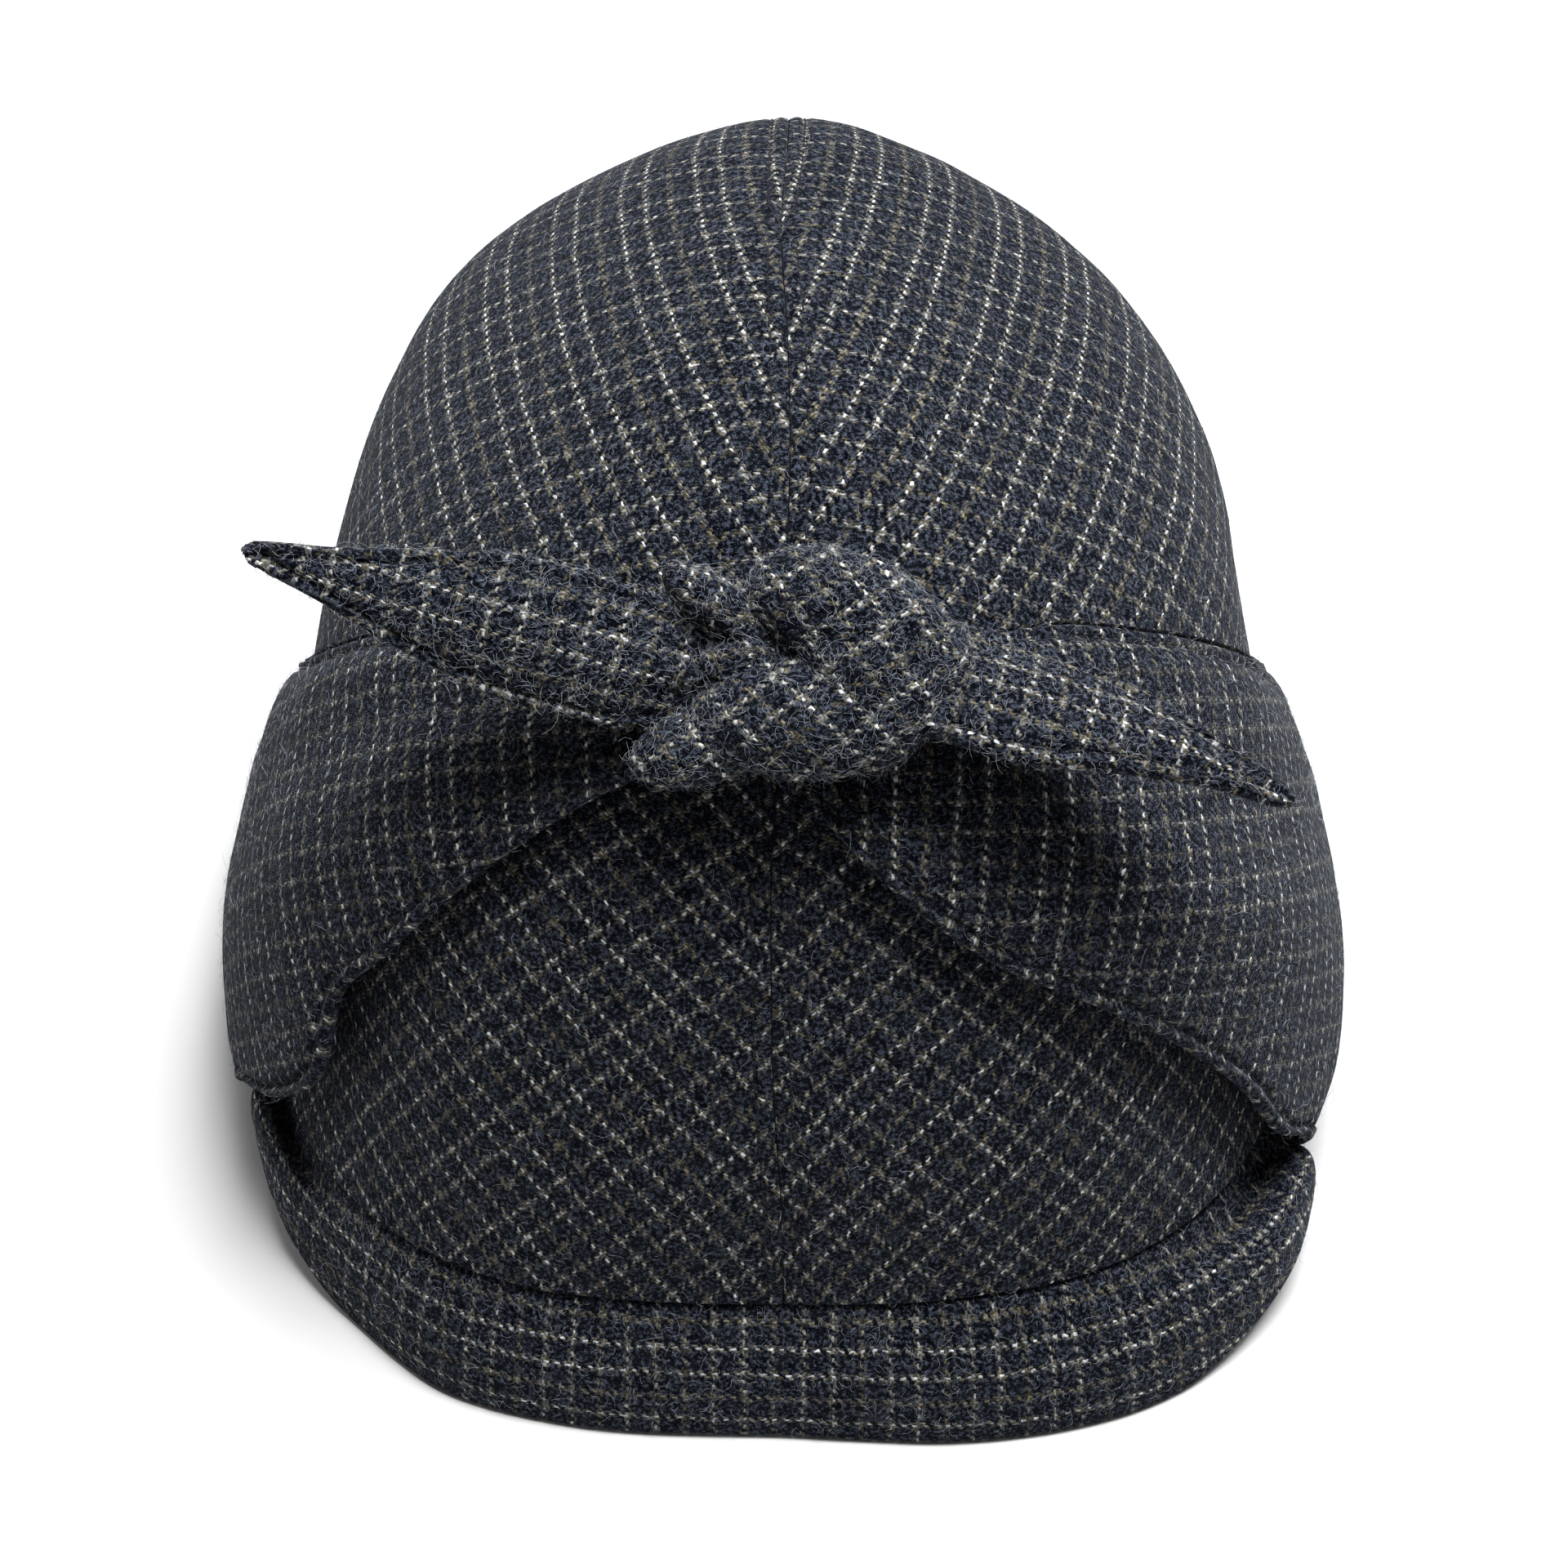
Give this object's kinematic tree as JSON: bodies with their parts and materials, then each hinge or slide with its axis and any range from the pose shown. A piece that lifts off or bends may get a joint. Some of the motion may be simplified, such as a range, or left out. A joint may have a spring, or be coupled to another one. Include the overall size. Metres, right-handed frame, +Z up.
{
  "type": "deerstalker hat",
  "caption": "Deerstalker hat of checked wool cloth: tall two-panel crown, short steep bill front and back, and ear flaps drawn up and knotted over the front of the crown.",
  "frame": {"origin": "on the surface that the hat stands on, under the middle of the hat", "axes": "+Z up; the front of the hat faces -Y; left and right are as seen from the front, so left is -X"},
  "size_m": [0.1977, 0.2226, 0.161],
  "materials": {
    "crown_cloth": "soft wool flannel, near-black navy with a fine pale check",
    "bill_cloth": "soft wool flannel, near-black navy with a fine pale check",
    "flap_cloth": "soft wool flannel, near-black navy with a fine pale check",
    "tie_cloth": "soft wool flannel, near-black navy with a fine pale check"
  },
  "bodies": {
    "root": {"crown_left": "crown_cloth", "crown_right": "crown_cloth", "front_bill": "bill_cloth", "back_bill": "bill_cloth", "ear_flap_left": "flap_cloth", "ear_flap_right": "flap_cloth", "tie_knot": "tie_cloth", "tie_tail_left": "tie_cloth", "tie_tail_right": "tie_cloth"}
  },
  "joints": []
}
